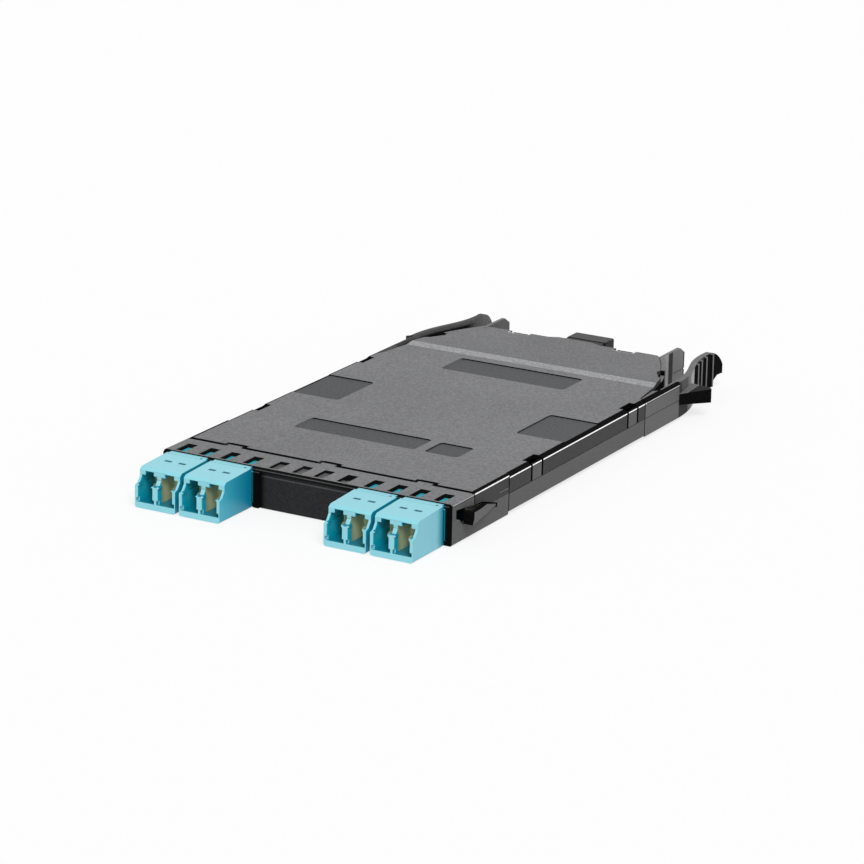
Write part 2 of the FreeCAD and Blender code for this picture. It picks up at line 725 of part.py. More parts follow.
def lever_paths():
    """Outer and inner faces of the right-hand lever as edges, and points and headings for its ribs."""
    def walk(start, shift, stretches):
        point, heading, edges = start, math.radians(90), []
        for kind, length, turn in stretches:
            if kind == "line":
                after = (point[0] + length * math.cos(heading), point[1] + length * math.sin(heading))
                edges.append(line(point, after))
            else:
                side = 1 if turn > 0 else -1
                radius = length - side * shift
                centre = (point[0] - side * radius * math.sin(heading),
                          point[1] + side * radius * math.cos(heading))
                ends = []
                for part in (0.5, 1.0):
                    angle = heading - side * math.pi / 2 + math.radians(turn) * part
                    ends.append((centre[0] + radius * math.cos(angle), centre[1] + radius * math.sin(angle)))
                edges.append(arc(point, ends[0], ends[1]))
                heading += math.radians(turn)
                after = ends[1]
            point = after
        return edges, point, heading
    bends = [("arc", lever_bend_radius, lever_bend), ("line", lever_slant, 0),
             ("arc", grip_radius, -grip_turn), ("line", grip_tail, 0)]
    outer = walk((half_width, root_y + lever_straight), 0, bends)
    inner = walk((half_width - lever_thickness, root_y + lever_straight), lever_thickness, bends)
    return outer, inner


def lever():
    """Right-hand rear lever: root, arm, barb and ribbed grip in one."""
    outer, inner = lever_paths()
    top = top_height
    start = (half_width, root_y + lever_straight)
    inner_start = (half_width - lever_thickness, start[1])
    corner = (half_width, root_y - root_radius)
    middle = (half_width - root_radius * math.sin(math.radians(45)),
              root_y - root_radius * math.cos(math.radians(45)))
    seat = (half_width - root_radius, root_y)
    shoulder, neck = lever_shoulder
    edges = [line(corner, (half_width, start[1])), arc(corner, middle, seat), line(seat, shoulder),
             line(shoulder, neck), line(neck, inner_start), line(outer[1], inner[1])] + outer[0] + inner[0]
    arm = slab(edges, runner_step, top)
    width, height = rear_bevel
    arm = arm.cut(prism([(half_width - width, 0, top), (half_width + 0.01, 0, top - height),
                         (half_width + 9, 0, top - height), (half_width + 9, 0, top + 1),
                         (half_width - width, 0, top + 1)], (0, root_y + lever_straight, 0)))
    ribs = []
    followed = [p for edge in outer[0] for p in edge.discretize(200)]
    for y in rib_places:
        at = min(followed, key=lambda p: abs(p.y - y))
        ribs.append(Part.makeCylinder(rib_radius, top - runner_step - 0.8,
                                      Vector(at.x, at.y, runner_step + 0.4)))
    tip_x, tip_y = half_width + barb_reach, barb_root_y + barb_length
    back_x, back_y = tip_x - barb_end[0], tip_y + barb_end[1]
    barb = prism([(half_width - 0.9, barb_root_y - 0.4, 0), (half_width, barb_root_y, 0), (tip_x, tip_y, 0),
                  (back_x, back_y, 0), (half_width - 2.4, back_y + 1, 0),
                  (half_width - 2.6, back_y - 1, 0)], (0, 0, top))
    (root_low, root_high), (tip_low, tip_high) = barb_root_heights, barb_tip_heights
    barb = barb.common(prism([(0, barb_root_y - 1, root_low), (0, tip_y, tip_low), (0, back_y + 2, tip_low),
                              (0, back_y + 2, tip_high), (0, tip_y, tip_high),
                              (0, barb_root_y - 1, root_high)], (tip_x + 1, 0, 0)))
    return arm.fuse(ribs + [barb]).cut([grip_head_cut(), grip_foot_cut()])


def grip_head_cut():
    """Everything above and behind the round end of the grip."""
    start, middle, end = grip_round
    first, second, last = (Vector(0, start, top_height), Vector(0, *middle), Vector(0, *end))
    beyond = Vector(0, end[0] + 3, end[1])
    above = Vector(0, end[0] + 3, top_height + 1)
    over = Vector(0, start, top_height + 1)
    edges = [Part.Arc(first, second, last).toShape()]
    for a, b in ((last, beyond), (beyond, above), (above, over), (over, first)):
        edges.append(Part.LineSegment(a, b).toShape())
    return Part.Face(Part.Wire(edges)).extrude(Vector(half_width + 5, 0, 0))


def grip_foot_cut():
    """Everything below and behind the foot of the grip."""
    reach = grip_foot[-1][0] + 3
    points = [(0, y, z) for y, z in grip_foot]
    points += [(0, reach, grip_foot[-1][1]), (0, reach, 0), (0, grip_foot[0][0], 0)]
    return prism(points, (half_width + 5, 0, 0))


def rear_port():
    low, high = rear_port_heights
    half = rear_port_width / 2
    y0, y1 = rear_port_front, rear_port_back
    bore_x, bore_z = rear_bore
    middle = rear_port_middle
    body = box(-half, half, y0, y1, low, high)
    inner_face = rear_wall_y - wall
    collar = box(-half - 1.4, half + 1.4, inner_face - 1.6, inner_face - fit, low + 0.8, high - 0.2)
    return body.fuse(collar).cut(box(-bore_x / 2, bore_x / 2, y0 - 1, y1 + 1, middle - bore_z / 2,
                                     middle + bore_z / 2))


def rear_cap():
    """Dust cap: a ribbed block outside and a plug inside the bore."""
    low, high = rear_port_heights[0] - cap_overhang[0], rear_port_heights[1] + cap_overhang[1]
    half = cap_width / 2
    start = rear_port_back + 0.05
    middle = rear_port_middle
    bore_x, bore_z = rear_bore
    head = box(-half, half, start, start + cap_length, low, high)
    head = head.makeFillet(0.5, [e for e in head.Edges if abs(e.BoundBox.YLength - cap_length) < 0.01])
    stem = box(-bore_x / 2 + 0.15, bore_x / 2 - 0.15, start - cap_stem, start + 0.5,
               middle - bore_z / 2 + 0.15, middle + bore_z / 2 - 0.15)
    stem = stem.cut(box(-bore_x / 2 + 1.2, bore_x / 2 - 1.2, start - cap_stem - 1, start - 1,
                        middle - bore_z / 2 + 1.2, middle + bore_z / 2 - 1.2))
    return head.fuse(stem)


def rear_plug():
    middle = rear_port_middle
    front = rear_port_front + rear_plug_entry - rear_plug_length
    body = box(-rear_plug_width / 2, rear_plug_width / 2, front, front + rear_plug_length,
               middle - rear_plug_height / 2, middle + rear_plug_height / 2)
    back = front + rear_plug_length
    tip = box(-3.2, 3.2, back - 0.5, back + 1.2, middle - 1.2, middle + 1.2)
    boot = box(-2.6, 2.6, front - rear_boot, front + 0.2, middle - 1.6, middle + 1.6)
    return body.fuse([tip, boot])


def breakout_block():
    middle = fibre_height
    return box(-5.4, 5.4, breakout_y, breakout_y + breakout_length, middle - 1.6, middle + 1.6)


def trunk():
    """Flat run of all the fibres from the breakout block to the rear plug."""
    y0 = breakout_y + breakout_length
    y1 = rear_port_front + rear_plug_entry - rear_plug_length - rear_boot
    x, half = trunk_width / 2, trunk_thickness / 2
    return prism([(-x, y0, fibre_height - half), (-x, y0, fibre_height + half),
                  (-x, y1, rear_port_middle + half), (-x, y1, rear_port_middle - half)], (trunk_width, 0, 0))


def main():
    os.makedirs("parts", exist_ok=True)
    save("base_shell", base_shell())
    save("top_cover", top_cover())
    save("blank_panel", blank_panel())
    centres = place_centres()
    leg = 0
    for number, place in enumerate(filled_places, 1):
        x = centres[place]
        save(f"lc_adapter_{number}", lc_adapter(x))
        save(f"sleeve_holder_{number}", sleeve_holder(x))
        save(f"alignment_sleeves_{number}", sleeves(x))
        for side in (-1, 1):
            leg += 1
            at = x + side * port_pitch / 2
            save(f"lc_plug_{leg}", lc_plug(at))
            save(f"fibre_leg_{leg}", fibre_leg(at, (leg - len(filled_places) - 0.5) * leg_pitch))
    save("front_latch_tab_right", tab_shape())
    save("front_latch_tab_left", mirrored(tab_shape()))
    save("rear_latch_lever_right", lever())
    save("rear_latch_lever_left", mirrored(lever()))
    save("rear_mpo_adapter", rear_port())
    save("rear_dust_cap", rear_cap())
    save("rear_mpo_plug", rear_plug())
    save("fibre_breakout_block", breakout_block())
    save("fibre_trunk", trunk())


main()
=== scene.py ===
"""The looks of the slim fibre cassette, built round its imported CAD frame."""
import math

import bmesh
import bpy
from mathutils import Matrix, Vector


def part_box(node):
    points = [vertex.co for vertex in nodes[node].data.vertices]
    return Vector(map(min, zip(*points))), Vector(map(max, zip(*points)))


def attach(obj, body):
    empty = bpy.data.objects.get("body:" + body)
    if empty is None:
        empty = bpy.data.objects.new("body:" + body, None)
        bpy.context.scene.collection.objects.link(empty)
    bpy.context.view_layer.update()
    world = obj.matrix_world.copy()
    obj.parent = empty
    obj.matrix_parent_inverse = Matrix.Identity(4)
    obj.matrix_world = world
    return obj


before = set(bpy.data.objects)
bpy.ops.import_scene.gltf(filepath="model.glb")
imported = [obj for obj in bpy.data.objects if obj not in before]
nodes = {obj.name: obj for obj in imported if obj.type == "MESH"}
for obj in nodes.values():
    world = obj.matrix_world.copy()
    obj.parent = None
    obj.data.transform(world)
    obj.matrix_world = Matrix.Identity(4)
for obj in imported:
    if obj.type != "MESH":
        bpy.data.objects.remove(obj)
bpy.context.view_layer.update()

scene = bpy.context.scene
scene.view_settings.view_transform = "Standard"
mm = 0.001

# Camera: a long lens from the front right and a little above, as in the photograph.
# Its place and turn come from a fit of the housing's edges, in millimetres and degrees.
camera_place = Vector((505.818, -912.438, 327.921))
camera_azimuth = math.radians(29.2654)
camera_elevation = math.radians(17.2846)
camera_roll = math.radians(1.1592)
camera_data = bpy.data.cameras.new("camera")
camera_data.lens = 162.163
camera_data.sensor_width = 36.0
camera_data.clip_start = 0.05
camera_data.clip_end = 20.0
camera = bpy.data.objects.new("camera", camera_data)
scene.collection.objects.link(camera)
level_reach = math.cos(camera_elevation)
ahead = Vector((-math.sin(camera_azimuth) * level_reach, math.cos(camera_azimuth) * level_reach,
                -math.sin(camera_elevation)))
turn = ahead.to_track_quat("-Z", "Y").to_matrix() @ Matrix.Rotation(camera_roll, 3, "Z")
camera.matrix_world = Matrix.Translation(camera_place * mm) @ turn.to_4x4()
scene.camera = camera

# Studio: white surroundings, and one large soft lamp above the front, from the right.
# The camera and mirror-like surfaces see plain white; the object gets a plain level of light.
sky_level = 0.50
key_level = 2.2
key_from = Vector((0.45, -0.45, 0.77))
key_spread = math.radians(30)
floor_reach = 4.0         # metres to each side
floor_drop = 0.0002       # metres under the object, so that the two never flicker
paper_white = 0.9
paper_glow = 0.75         # share of the floor that the camera sees as pure white
pure_white = (1, 1, 1, 1)


def sees_white(tree):
    """Mask that is 1 for the camera's rays, mirrored rays and rays through glass."""
    path = tree.nodes.new("ShaderNodeLightPath")
    result = path.outputs["Is Camera Ray"]
    for kind in ("Is Glossy Ray", "Is Transmission Ray"):
        either = tree.nodes.new("ShaderNodeMath")
        either.operation = "MAXIMUM"
        tree.links.new(result, either.inputs[0])
        tree.links.new(path.outputs[kind], either.inputs[1])
        result = either.outputs[0]
    return result


def mixed(tree, share, first, second):
    """Shader that goes from the first to the second; the share is a number or a mask."""
    mix = tree.nodes.new("ShaderNodeMixShader")
    if isinstance(share, float):
        mix.inputs["Fac"].default_value = share
    else:
        tree.links.new(share, mix.inputs["Fac"])
    tree.links.new(first, mix.inputs[1])
    tree.links.new(second, mix.inputs[2])
    return mix.outputs[0]


def white_light(tree, kind, strength):
    """White background or emission of a given strength."""
    light = tree.nodes.new(kind)
    light.inputs["Color"].default_value = pure_white
    light.inputs["Strength"].default_value = strength
    return light.outputs[0]


world = bpy.data.worlds.new("studio")
world.use_nodes = True
tree = world.node_tree
tree.nodes.clear()
out = tree.nodes.new("ShaderNodeOutputWorld")
sky = white_light(tree, "ShaderNodeBackground", sky_level)
backdrop = white_light(tree, "ShaderNodeBackground", 1.0)
tree.links.new(mixed(tree, sees_white(tree), sky, backdrop), out.inputs["Surface"])
scene.world = world

key_data = bpy.data.lights.new("key", "SUN")
key_data.energy = key_level
key_data.angle = key_spread
key = bpy.data.objects.new("key", key_data)
scene.collection.objects.link(key)
key.rotation_euler = key_from.to_track_quat("Z", "Y").to_euler()

floor_mesh = bpy.data.meshes.new("floor")
sheet = bmesh.new()
bmesh.ops.create_grid(sheet, x_segments=1, y_segments=1, size=floor_reach)
sheet.to_mesh(floor_mesh)
sheet.free()
floor = bpy.data.objects.new("floor", floor_mesh)
scene.collection.objects.link(floor)
floor.location.z = -floor_drop
floor_paper = bpy.data.materials.new("floor")
floor_paper.use_nodes = True
tree = floor_paper.node_tree
paper = tree.nodes["Principled BSDF"]
paper.inputs["Base Color"].default_value = (paper_white, paper_white, paper_white, 1)
paper.inputs["Roughness"].default_value = 0.9
glow = white_light(tree, "ShaderNodeEmission", 1.0)
seen = mixed(tree, paper_glow, paper.outputs[0], glow)
surface = mixed(tree, sees_white(tree), paper.outputs[0], seen)
tree.links.new(surface, tree.nodes["Material Output"].inputs["Surface"])
floor_mesh.materials.append(floor_paper)

# Cover and base: dark grey plastic from a spark-eroded mould, two shells that snap together.
# Flat tops carry the spark texture and look mid-grey. Bevels and front faces are painted black as
# painted shade. In mm, a run goes back from the frame's face, and a span out from the middle to both
# sides.
frame_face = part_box("base_shell")[0][1] / mm
half_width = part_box("top_cover")[1][0] / mm
deck_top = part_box("top_cover")[1][2] / mm
flat_top = deck_top - 0.6
housing_grey = (0.136, 0.137, 0.141)
housing_grain = {"grain": 1.4, "grain_size": 0.7, "bump": 0.3}
grain_depth = 0.05
cloud_size = 25.0         # slow changes of tone over a whole piece
side_polish = 0.7         # share of the grain that the smooth sides lack
dull_tone = 0.01          # plastic as dark as this has no shine
shiny_tone = 0.10         # and from here on it has all of it
housing_gloss = 0.2
# Near-blacks laid as painted shade; the last one also draws the parting line, a dark joint.
near_black_shade = 0.006
deep_shade_black = 0.004
inner_shade_black = 0.008
joint_and_shade_black = 0.02
edge_width = 0.06         # rounding of the sharp edges


class Finish:
    """A piece's plastic in one colour, painted over by masks on the piece's own coordinates, which lay
    its own marks and also painted light and shade.

    Each face looks some way: right, back and up are 1 where it looks squarely there and -1 where it
    looks the other way. Outward is the same for the way from the middle to the nearer side.
    """

    def __init__(self, name, colour, roughness, grain=0.0, grain_size=0.45, bump=0.0, middle=0.0):
        self.material = bpy.data.materials.new(name)
        self.material.use_nodes = True
        self.tree = self.material.node_tree
        self.surface = self.tree.nodes["Principled BSDF"]
        self.surface.inputs["Roughness"].default_value = roughness
        place = self.node("ShaderNodeTexCoord")
        self.x, self.y, self.z = self.parts(place.outputs["Object"])
        self.right, self.back, self.up = self.parts(place.outputs["Normal"])
        self.from_middle = self.step("SUBTRACT", self.x, middle * mm)
        self.aside = self.step("ABSOLUTE", self.from_middle)
        self.outward = self.step("MULTIPLY", self.right, self.step("SIGN", self.x))
        fine = self.cloud(place, grain_size, 2.0)
        slow = self.cloud(place, cloud_size, 3.0)
        level = self.step("MULTIPLY_ADD", fine, grain, 1 - grain / 2)
        self.grain = self.step("MULTIPLY_ADD", slow, grain / 4, level)
        flat = self.node("ShaderNodeRGB")
        flat.outputs[0].default_value = (*colour, 1)
        self.colour = flat.outputs[0]
        if bump:
            relief = self.node("ShaderNodeBump")
            relief.inputs["Strength"].default_value = bump
            relief.inputs["Distance"].default_value = grain_depth * mm
            self.tree.links.new(fine, relief.inputs["Height"])
            self.tree.links.new(relief.outputs[0], self.surface.inputs["Normal"])

    def node(self, kind):
        """New node of the material."""
        return self.tree.nodes.new(kind)

    def parts(self, socket):
        """The three parts of a place or a direction."""
        split = self.node("ShaderNodeSeparateXYZ")
        self.tree.links.new(socket, split.inputs[0])
        return split.outputs

    def cloud(self, place, size, detail):
        """Noise with lumps of about the given size."""
        texture = self.node("ShaderNodeTexNoise")
        texture.inputs["Scale"].default_value = 1 / (size * mm)
        texture.inputs["Detail"].default_value = detail
        self.tree.links.new(place.outputs["Object"], texture.inputs["Vector"])
        return texture.outputs["Fac"]

    def step(self, operation, *values):
        """One arithmetic step; each value is a socket or a number."""
        worked = self.node("ShaderNodeMath")
        worked.operation = operation
        for slot, value in zip(worked.inputs, values):
            if isinstance(value, (int, float)):
                slot.default_value = value
            else:
                self.tree.links.new(value, slot)
        return worked.outputs[0]

    def rise(self, value, low, high, kind="LINEAR"):
        """Mask that grows from 0 to 1 between two values."""
        grow = self.node("ShaderNodeMapRange")
        grow.interpolation_type = kind
        grow.inputs["From Min"].default_value = low
        grow.inputs["From Max"].default_value = high
        self.tree.links.new(value, grow.inputs["Value"])
        return grow.outputs[0]

    def above(self, value, end, soft):
        """Mask that is 1 where the value is over the end, and 0 under it."""
        return self.rise(value, end - soft, end + soft, "SMOOTHSTEP")

    def other(self, mask):
        """Mask that is 1 where the given one is 0."""
        return self.step("SUBTRACT", 1.0, mask)

    def both(self, *masks):
        """Mask that is 1 where all the masks are."""
        result = masks[0]
        for mask in masks[1:]:
            result = self.step("MULTIPLY", result, mask)
        return result

    def between(self, value, ends, soft):
        """Mask that is 1 where the value lies between two ends."""
        low, high = ends
        return self.both(self.above(value, low, soft), self.other(self.above(value, high, soft)))

    def within(self, place, ends, soft=0.05):
        """Mask that is 1 between two places, in mm."""
        low, high = ends
        return self.between(place, (low * mm, high * mm), soft * mm)

    def short_of(self, place, end, soft=0.05):
        """Mask that is 1 on the near side of a place, in mm."""
        return self.other(self.above(place, end * mm, soft * mm))

    def along(self, run, soft=0.1):
        """Mask of a run behind the frame's face."""
        start, end = run
        return self.within(self.y, (start + frame_face, end + frame_face), soft)

    def high(self, heights, soft=0.03):
        """Mask of what lies between two heights."""
        return self.within(self.z, heights, soft)

    def wide(self, span):
        """Mask of a span to both sides of the middle."""
        return self.within(self.aside, span)

    def looks(self, way, least, soft=0.05):
        """Mask of the faces that look at least so squarely a given way."""
        return self.above(way, least, soft)

    def looks_forward(self):
        """Mask of the faces that look to the front."""
        return self.other(self.above(self.back, -0.5, 0.1))

    def paint(self, colour, *masks):
        """Lay a colour, or a grey given by one number, where all the masks are."""
        if isinstance(colour, float):
            colour = (colour, colour, colour)
        mix = self.node("ShaderNodeMix")
        mix.data_type = "RGBA"
        self.tree.links.new(self.both(*masks), mix.inputs["Factor"])
        self.tree.links.new(self.colour, mix.inputs["A"])
        mix.inputs["B"].default_value = (*colour, 1)
        self.colour = mix.outputs["Result"]

    def polish(self, mask, share):
        """Take a share of the grain away where the mask is 1."""
        smooth = self.step("MULTIPLY", mask, share)
        rough = self.step("MULTIPLY", self.grain, self.other(smooth))
        self.grain = self.step("ADD", rough, smooth)

    def made(self, gloss=None):
        """The material. With a gloss given, plastic that is nearly black, as the painted shade is, keeps
        none of it.
        """
        tint = self.node("ShaderNodeVectorMath")
        tint.operation = "SCALE"
        self.tree.links.new(self.colour, tint.inputs[0])
        self.tree.links.new(self.grain, tint.inputs["Scale"])
        self.tree.links.new(tint.outputs[0], self.surface.inputs["Base Color"])
        if gloss:
            tone = self.node("ShaderNodeRGBToBW")
            self.tree.links.new(self.colour, tone.inputs[0])
            share = self.rise(tone.outputs[0], dull_tone, shiny_tone)
            shine = self.step("MULTIPLY", share, gloss)
            self.tree.links.new(shine, self.surface.inputs["Specular IOR Level"])
        return self.material


def dress(node, material, width=0):
    """Give a node its material and, where a width in mm is given, slightly rounded edges."""
    shape = nodes[node]
    shape.data.materials.clear()
    shape.data.materials.append(material)
    if not width:
        return
    weld = shape.modifiers.new("weld", "WELD")
    weld.merge_threshold = 0.001 * mm
    edge = shape.modifiers.new("edge", "BEVEL")
    edge.width = width * mm
    edge.segments = 1
    edge.limit_method = "ANGLE"
    edge.angle_limit = math.radians(35)
    edge.use_clamp_overlap = False


# Tops: sunk fields, the rear deck, the ramp up to it with a painted reflection, and the tops of the rear
# snap tabs with a painted highlight.
field_grey = (0.060, 0.061, 0.063)
field_heights = (flat_top - 0.45, flat_top - 0.15)
deck_grey = (0.120, 0.121, 0.124)
deck_heights = (deck_top - 0.2, deck_top + 1)
ramp_reflection_grey = (0.245, 0.246, 0.25)
ramp_lean = (-0.4, -0.12)     # its face looks a little to the front
snap_top_highlight = 0.5
snap_top_run = (150, 153)
snap_top_span = (14.2, 21)


def paint_tops(finish):
    """Greys of the faces that lie level, or nearly so."""
    level = finish.looks(finish.up, 0.9)
    finish.paint(field_grey, finish.high(field_heights), level)
    finish.paint(deck_grey, finish.high(deck_heights), level)
    # Painted reflection on the ramp, and a painted highlight on the snap tabs' tops.
    finish.paint(ramp_reflection_grey, finish.between(finish.back, ramp_lean, 0.04), level)
    finish.paint(snap_top_highlight, level, finish.along(snap_top_run), finish.wide(snap_top_span))


# Sides: outer faces with bands of painted highlight and shade, the parting line, and painted shade in the
# gap at each rear corner.
inner_grey = (0.08, 0.08, 0.082)
parting_heights = (6.0, 6.18)
parting_run = (31.2, 133.5)
corner_run = (124, 158)
corner_shade = 9.4            # height that the shade in the gap reaches


def paint_sides(finish, side, tone, bands, shade_top):
    """Greys of the upright faces, with painted light and shade; each band is a run and its tone."""
    inner = finish.other(finish.looks(finish.outward, -0.85, 0.08))
    # The sides' tone is darker than the tops: partly their smoother face, partly painted shade.
    finish.paint((tone, tone, tone * 1.02), side)
    finish.paint(inner_grey, inner)
    # Bands of painted highlight and shade.
    for run, band_tone in bands:
        finish.paint(band_tone, finish.along(run, 0.2), side)
    finish.paint(joint_and_shade_black, side, finish.high(parting_heights, 0.02), finish.along(parting_run))
    # Painted shade: black low on the inner faces in the gap at each rear corner.
    low = finish.short_of(finish.z, shade_top, 0.4)
    finish.paint(inner_shade_black, inner, low, finish.along(corner_run, 3))


# Grips: painted light and shade on the upper faces of a tab or lever, and painted shade, black, on the
# top of its barb.
barb_span = (46.2, 60)
barb_run = (100, 160)


def paint_grip(finish, tone):
    """Painted light and shade of a grip seen from above."""
    top = finish.looks(finish.up, 0.4, 0.1)
    finish.paint(tone, top)
    finish.paint(joint_and_shade_black, finish.wide(barb_span), top, finish.along(barb_run))


# Edges: bevels along both sides painted black as painted shade, with a painted highlight line on their
# lower edge and a line of painted shade under it.
bevel_places = (((11.8, 31), (43.3, 45), (flat_top - 0.5, 12)),         # run, span and heights
                ((31.2, 123), (43.1, 45), (flat_top - 0.88, 12)))
slant_run = (31, 133)
slant_up = (0.5, 0.92)
slant_out = (0.35, 0.85)
# Painted highlight lines, each with a line of painted shade under it.
highlight_lines = (((0.5, 11.7), (10.82, 11.1), 0.30),                     # run, heights and tone
                ((12, 31), (10.82, 11.15), 0.80),
                ((31.2, 112), (10.28, 10.6), 0.95),
                ((112, 133), (10.35, 10.58), 0.5))
line_span = (43.9, 46)
dark_line = 0.22              # height of the dark line
under_highlight_shade = 0.012


def paint_edges(finish, side):
    """Painted shade on the bevels, and painted highlight and shade lines, at the top of the sides."""
    raised = finish.looks(finish.up, 0.3)
    for run, span, heights in bevel_places:
        finish.paint(near_black_shade, finish.along(run), finish.wide(span), finish.high(heights), raised)
    slant = finish.both(finish.between(finish.up, slant_up, 0.05),
                        finish.between(finish.outward, slant_out, 0.05))
    finish.paint(near_black_shade, slant, finish.along(slant_run))
    for run, (low, top), tone in highlight_lines:
        band = finish.both(finish.along(run), finish.wide(line_span))
        finish.paint(under_highlight_shade, band, finish.high((low - dark_line, low)), side)
        finish.paint(tone, band, finish.high((low, top)), finish.looks(finish.outward, 0.3))


# Snap places: painted shade, black in and round the two slots beside each snap tab and the hole in the
# cover above it.
snap_places = (46.5, 103.4)
snap_slot_shift = 3.02        # from a snap tab's middle to the slots beside it
snap_slot_half = 0.5
snap_slot_heights = (6.1, 12)
snap_slot_span = (43.2, 46)
snap_hole_half = 3.4
snap_hole_heights = (2, 11.3)
snap_hole_span = (41, 43.7)


def paint_snap_places(finish):
    """Painted shade: black of the openings round the snap tabs."""
    slots = finish.both(finish.high(snap_slot_heights), finish.wide(snap_slot_span))
    hole = finish.both(finish.high(snap_hole_heights), finish.wide(snap_hole_span))
    for place in snap_places:
        for slot in (place - snap_slot_shift, place + snap_slot_shift):
            run = (slot - snap_slot_half, slot + snap_slot_half)
            finish.paint(deep_shade_black, finish.along(run, 0.03), slots)
        run = (place - snap_hole_half, place + snap_hole_half)
        finish.paint(deep_shade_black, finish.along(run, 0.03), hole)


# Seam: painted shade, black along the gap between the frame's roof and the cover, which steps round three
# tongues.
seam_run = (11.05, 12.6)
seam_heights = (flat_top - 0.25, flat_top + 0.1)
tongues = (-29.5, 0, 29.5)
tongue_half = 2.8
tongue_length = 1.5
tongue_side = (2.2, 3.4)
tongue_side_run = (11.2, 13.9)


def paint_seam(finish):
    """Painted shade: black of the gap, on the faces that look up."""
    raised = finish.both(finish.looks(finish.up, 0.3), finish.high(seam_heights))
    line = finish.y
    for tongue in tongues:
        beside = finish.step("ABSOLUTE", finish.step("SUBTRACT", finish.x, tongue * mm))
        inside = finish.short_of(beside, tongue_half, 0.4)
        line = finish.step("MULTIPLY_ADD", inside, -tongue_length * mm, line)
        finish.paint(deep_shade_black, finish.within(beside, tongue_side, 0.1),
                     finish.along(tongue_side_run), raised)
    start, end = seam_run
    gap = finish.within(line, (start + frame_face, end + frame_face))
    finish.paint(deep_shade_black, gap, raised)


# Frame: front faces and window walls painted black as painted shade, with a fine grey line under the
# roof's front edge.
wall_run = (-50, 8)
wall_heights = (1.5, flat_top - 0.2)
wall_reach = 43
brow_grey = 0.07
brow_run = (-0.5, 0.5)
brow_heights = (flat_top - 0.95, flat_top - 0.7)
brow_reach = 43.5
tab_window_run = (-1, 22)     # sides that lie back behind the front tabs
tab_window_reach = half_width - 0.4


def paint_frame(finish):
    """Painted shade: blacks of the front faces and the frame's windows."""
    front = finish.looks_forward()
    finish.paint(deep_shade_black, front)
    finish.paint(inner_shade_black, finish.along(wall_run), finish.short_of(finish.aside, wall_reach),
                 finish.high(wall_heights))
    finish.paint(brow_grey, front, finish.high(brow_heights), finish.along(brow_run),
                 finish.short_of(finish.aside, brow_reach))


def housing_plastic(name, side_tone, bands=(), grip_tone=None, shade_top=corner_shade):
    """The housing's plastic, with the tone of its sides and its painted light and shade."""
    finish = Finish(name, housing_grey, roughness=0.6, **housing_grain)
    side = finish.looks(finish.outward, 0.85, 0.08)
    paint_tops(finish)
    paint_sides(finish, side, side_tone, bands, shade_top)
    if grip_tone:
        paint_grip(finish, grip_tone)
    paint_edges(finish, side)
    paint_snap_places(finish)
    # Painted shade: black on the sides that lie back behind the front tabs.
    finish.paint(near_black_shade, side, finish.along(tab_window_run),
                 finish.short_of(finish.aside, tab_window_reach))
    paint_seam(finish)
    paint_frame(finish)
    finish.polish(side, side_polish)
    return finish.made(housing_gloss)


# Painted highlight and shade in bands along the rear walls and ears of the base.
ear_light_bands = (((124, 138), 0.01), ((139, 150.5), 0.10), ((151, 155.3), 0.38), ((155.6, 158), 0.04),
             ((158.2, 165), 0.2))
cover_plastic = housing_plastic("cover plastic", side_tone=0.045)
base_plastic = housing_plastic("base plastic", side_tone=0.085, bands=ear_light_bands)
dress("top_cover", cover_plastic, edge_width)
dress("base_shell", base_plastic, edge_width)

# Front tabs and rear levers: same plastic as the base, moulded on it in the real product.
# Their grips are painted black between the ribs as painted shade, and the ribs' backs lighter as painted
# highlight.
grip_edge_width = 0.05
# Bands of painted highlight and shade along the levers' sides, with painted highlight on the ribs.
lever_light_bands = [((133, 140), 0.03), ((140.5, 143.5), 0.14), ((143.5, 148.5), 0.32), ((149, 175), 0.006)]
rib_places = (153.6, 157.7, 161.6, 165.6)
rib_front = 0.6
rib_back = 0.7
rib_highlight = 0.12
for rib in rib_places:
    lever_light_bands.append(((rib - rib_front, rib + rib_back), rib_highlight))
# Painted light and shade on the levers' tops: the left one darker, and its painted shade in the gap
# reaching higher.
lever_top_light_and_shade = {"left": 0.05, "right": 0.11}
lever_shades = {"left": 10.5, "right": corner_shade}
tab_plastic = housing_plastic("tab plastic", side_tone=0.09, grip_tone=near_black_shade)
for side in ("left", "right"):
    lever_plastic = housing_plastic(f"{side} lever plastic", side_tone=0.10, bands=lever_light_bands,
                                    grip_tone=lever_top_light_and_shade[side], shade_top=lever_shades[side])
    dress(f"front_latch_tab_{side}", tab_plastic, grip_edge_width)
    dress(f"rear_latch_lever_{side}", lever_plastic, grip_edge_width)

# Rear port, its inner plug and the breakout block: black plastic, smooth off the mould.
# They are pushed into the housing and held by its posts.
smooth_black = Finish("black plastic", (0.014, 0.014, 0.015), roughness=0.45).made()
smooth_black.node_tree.nodes["Principled BSDF"].inputs["Specular IOR Level"].default_value = 0.1
for node in ("rear_mpo_adapter", "rear_mpo_plug", "fibre_breakout_block"):
    dress(node, smooth_black, edge_width)

# Blank panel: black plastic, clipped into the two middle places under the frame's roof.
# Low bosses on its hooks, and on the ports, fill the lower part of the windows above them.
blank_black = (0.022, 0.022, 0.023)
blank_line_grey = (0.06, 0.06, 0.061)
blank_line_heights = (8.8, 9.15)
blank_dark_ends = (-20, -13.2)        # its left end, in the shade of the port beside it
blank_top_painted_light = (0.07, 0.07, 0.072)
blank_middles = (-6.95, 6.95)
blank_boss_top = flat_top - 0.7
blank_boss_backs = (6.9, 6.9, 6.9, 4.0)
window_spacing = 7.2                  # between the two windows above a port
boss_width = 3.0
boss_front = 0.86
port_roof = 9.9


